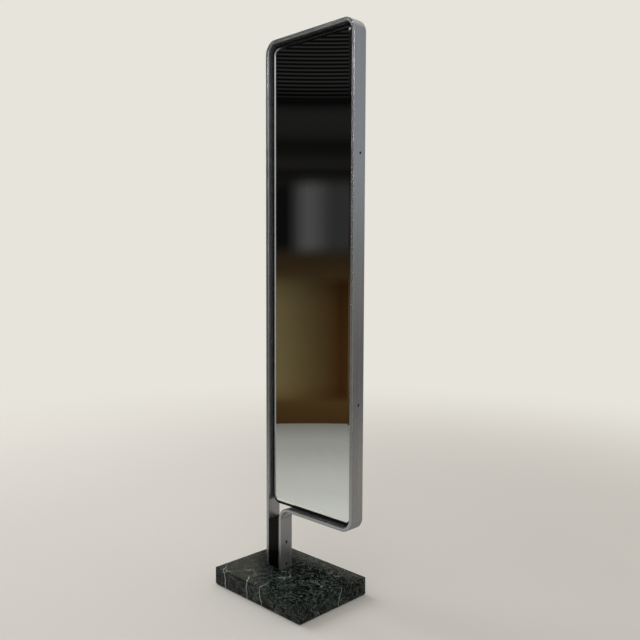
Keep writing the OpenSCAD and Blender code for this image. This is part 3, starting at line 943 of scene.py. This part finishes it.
# %% The tones of the dark cloth, a painted reflection of a room
# Painted reflection of a room by height, its light and shade included.
PAINTED_ROOM_STOPS = (
    (0.0, 0.045, 0.022, 0.008), (0.14, 0.055, 0.032, 0.011), (0.28, 0.070, 0.048, 0.019),
    (0.80, 0.062, 0.043, 0.018), (1.05, 0.030, 0.018, 0.008), (1.25, 0.016, 0.012, 0.009),
    (1.45, 0.028, 0.025, 0.021), (1.66, 0.004, 0.004, 0.0035), (1.72, 0.013, 0.012, 0.011),
    (1.79, 0.006, 0.006, 0.0055), (1.85, 0.0045, 0.0045, 0.004), (1.93, 0.011, 0.011, 0.010),
    (2.05, 0.012, 0.012, 0.011), (2.12, 0.002, 0.002, 0.002), (2.25, 0.010, 0.010, 0.0095),
    (2.6, 0.010, 0.010, 0.0095), (3.0, 0.004, 0.004, 0.004),
)
PLEAT = 0.0245
PLEATED = (2.13, 2.16, 2.60, 2.75)
WAIST = (0.13, 0.2, 0.92, 1.02)
WAIST_STOPS = ((212, 1.0, 1.0, 1.0), (220, 1.7, 1.9, 2.1), (224.5, 1.0, 1.0, 1.0), (229, 0.5, 0.3, 0.2),
               (244, 1.0, 1.0, 1.0))
SHOULDER, SHOULDER_TURNS = (1.10, 1.22, 1.54, 1.66), (213, 217, 231, 240)
PATCH_DARK, PATCH_LIGHT = 0.004, 0.065


def painted_room_tone(turn, height):
    """The painted reflection of a room: the stops by height, with the painted light and shade of pleats above
    head height (a cosine raised to a ridge), and at waist height multiplied by the waist stops, from olive on
    the left to brown on the right. At shoulder height a grey patch takes their place, dark on the left and
    lighter in the middle."""
    ridge = (0.5 + 0.5 * np.cos(2 * np.pi * height / PLEAT)) ** 2
    shade = 1 + between(height, *PLEATED) * (2.2 * ridge - 0.85)
    waver = 1 + 0.15 * np.sin(np.radians(5 * turn)) * np.sin(3.1 * height + 0.4)
    sideways = 1 + between(height, *WAIST)[..., None] * (by_stops(turn, WAIST_STOPS) - 1)
    tone = by_stops(height, PAINTED_ROOM_STOPS) * sideways * (shade * waver)[..., None]
    patch = PATCH_DARK + PATCH_LIGHT * smooth(turn, 221, 224.2) * (1 - 0.65 * smooth(turn, 224.2, 228))
    return over(tone, between(height, *SHOULDER) * between(turn, *SHOULDER_TURNS), patch[..., None])


# %% [markdown]
# Glowing upright strips lie over the cloth as painted reflections: dark grey on the far left, grey for the
# bar's front, a narrow painted highlight for its arris that is very bright high up, slate with a grey band
# for its inner face, and a pale one on the far right, which the bevel shows by way of that face. A strip has
# four angles between which it comes and goes, its tone, how much lighter it grows upwards, the power of that
# rise, and whether it fades at its foot.

# %% Hang the dark cloth and lay the mat before the mirror, both glowing painted reflections
PAINTED_REFLECTION_STRIPS = (
    ((160, 165, 212, 216), (0.11, 0.105, 0.10), 0, 1, False),
    ((232, 234, 241, 243), (0.34, 0.34, 0.345), 0.5, 1, False),
    ((250, 252, 257, 259), (0.30, 0.30, 0.31), 120, 3, True),
    ((278, 284, 380, 385), (0.10, 0.107, 0.12), 1, 1, True),
    ((280, 284, 294, 300), (0.30, 0.30, 0.31), 2, 1, True),
    ((326, 331, 343, 348), (1.10, 1.10, 1.12), 0.9, 1, False),
)


def painted_dark_tone(turn, height):
    """The room's painted reflection with the glowing strips over it, one of them a painted highlight."""
    tone = painted_room_tone(turn, height)
    # The rise makes strips lighter high up: painted light.
    rise = smooth(height, 1.2, 2.7) * (1 - 0.9 * smooth(height, 2.7, 2.9))
    for angles, colour, lift, power, fades in PAINTED_REFLECTION_STRIPS:
        share = between(turn, *angles) * (smooth(height, 0.2, 1.1) if fades else 1)
        tone = over(tone, share, colour * (1 + lift * rise ** power)[..., None])
    return tone


mirror_mid = ((glass_low.x + glass_high.x) / 2, glass_low.y)
CLOTH_R = 2.6
# The rows lie closer where the pleats are.
cloth_heights = np.concatenate([np.linspace(0.001, 2.1, 60), np.linspace(2.11, 2.8, 280),
                                np.linspace(2.85, 7.0, 20)])
hung_painted_reflection_cloth("painted_reflection_dark_cloth", mirror_mid, CLOTH_R, np.linspace(170, 370, 201), cloth_heights, painted_dark_tone)
# Painted floor light as the glass shows it: brightest near the mirror, darker further away.
MAT_STOPS = (
    (0.6, 0.60, 0.60, 0.57), (0.85, 0.58, 0.58, 0.545), (1.1, 0.50, 0.50, 0.465), (1.4, 0.455, 0.45, 0.415),
    (1.85, 0.335, 0.33, 0.30), (2.13, 0.295, 0.292, 0.268), (2.3, 0.255, 0.25, 0.23),
    (2.6, 0.17, 0.165, 0.145),
)
laid_painted_reflection_mat("painted_reflection_front_mat", mirror_mid, np.linspace(213, 330, 61), np.linspace(0.6, CLOTH_R, 60), MAT_STOPS)

# %% The cloths behind the mirror, painted reflections for the bar's side and the stone's top
# Painted reflection for the bar's side, by height: the dark band from 0.38 to 0.65 m is painted shade.
PAINTED_SIDE_STOPS = (
    (0.0, 0.20, 0.182, 0.157), (0.15, 0.23, 0.212, 0.187), (0.38, 0.11, 0.107, 0.101),
    (0.65, 0.12, 0.116, 0.111), (0.90, 0.235, 0.23, 0.212), (1.16, 0.28, 0.31, 0.312),
    (1.41, 0.46, 0.49, 0.53), (2.6, 0.44, 0.47, 0.49),
)
# Painted light and painted shadow that the stone's top shows: a lit olive tone and a shaded one.
OLIVE_LIT_TONE, SHADED_TONE = np.array([0.54, 0.515, 0.43]), np.array([0.018, 0.018, 0.02])
# Painted floor shade that the bar's side shows: darkest close in.
PAINTED_FLOOR_SHADE_STOPS = ((0.25, 0.20, 0.19, 0.175), (0.40, 0.34, 0.32, 0.30), (1.2, 0.42, 0.40, 0.37))


def painted_grey_tone(turn, height):
    """The painted reflection stops by height, with painted shade in their dark middle band, lighter low down
    at the far end, which the leg's foot sees by way of the stone.
    """
    far_end = smooth(turn, 52, 57) * (1 - smooth(height, 0.3, 0.6))
    return by_stops(height, PAINTED_SIDE_STOPS) * (1 + 4.5 * far_end)[..., None]


def painted_stone_top_tone(turn, height):
    """A painted reflection for the stone's top: lit olive to the left and below a slanting line, where the
    top's rear edge looks, and painted shadow elsewhere.
    """
    rear_edge = 0.463 + 0.0082 * (139 - turn)
    shaded = smooth(height - rear_edge, 0.015, 0.07) * (1 - smooth(turn, 140.5, 146.5))
    return over(OLIVE_LIT_TONE, shaded, SHADED_TONE)


hung_painted_reflection_cloth("painted_reflection_grey_cloth", (band_high.x, MID_Y), 1.0, np.linspace(10, 85, 61), np.linspace(0.001, 2.6, 131),
           painted_grey_tone)
hung_painted_reflection_cloth("painted_reflection_olive_cloth", (0, 0), 1.3, np.linspace(98, 172, 61), np.linspace(0.001, 1.8, 91), painted_stone_top_tone)
laid_painted_reflection_mat("painted_reflection_side_mat", (0, 0), np.linspace(-25, 88, 57), np.linspace(0.25, 1.2, 20), PAINTED_FLOOR_SHADE_STOPS)
print("three cloths and two mats, seen by reflections only")

# %% [markdown]
# ## Light
#
# Soft lamps, large and high, as in a plain studio: one from the front left that models the stone and the
# ring, a weaker one from the right, and a pale world for the rest. They are set so that a colour renders
# about as it is written. The world is drawn for the camera and for reflections at its backdrop colour, and
# lights matt surfaces a little less.

# %% Lamps and world
def soft_lamp(name, place, target, size, power):
    """A square area lamp that faces its target."""
    data = bpy.data.lights.new(name, "AREA")
    data.size = size
    data.energy = power
    lamp = placed(name, data)
    facing = (Vector(target) - Vector(place)).to_track_quat("-Z", "Y").to_matrix().to_4x4()
    lamp.matrix_world = Matrix.Translation(Vector(place)) @ facing


def pale_world(ambient):
    """A world that shows the backdrop colour to the camera and to reflections, and a share to the rest."""
    world = bpy.data.worlds.new("pale_world")
    bpy.context.scene.world = world
    world.use_nodes = True
    tree = world.node_tree
    path = add(tree, "LightPath")
    seen = combine(tree, "MAXIMUM", path.outputs["Is Camera Ray"], path.outputs["Is Glossy Ray"])
    seen = combine(tree, "MAXIMUM", seen, path.outputs["Is Transmission Ray"])
    strength = spread(tree, seen, 0.0, 1.0, ambient, 1.0)
    feed(tree, tree.nodes["Background"], {"Color": (*BACKDROP, 1), "Strength": strength})


pale_world(ambient=0.85)
soft_lamp("key_lamp", (-3.6, -0.3, 3.8), (0, 0, 0.7), size=3.0, power=100)
soft_lamp("fill_lamp", (2.6, -3.0, 3.2), (0, 0, 0.6), size=2.6, power=30)
bpy.context.scene.view_settings.view_transform = "Standard"
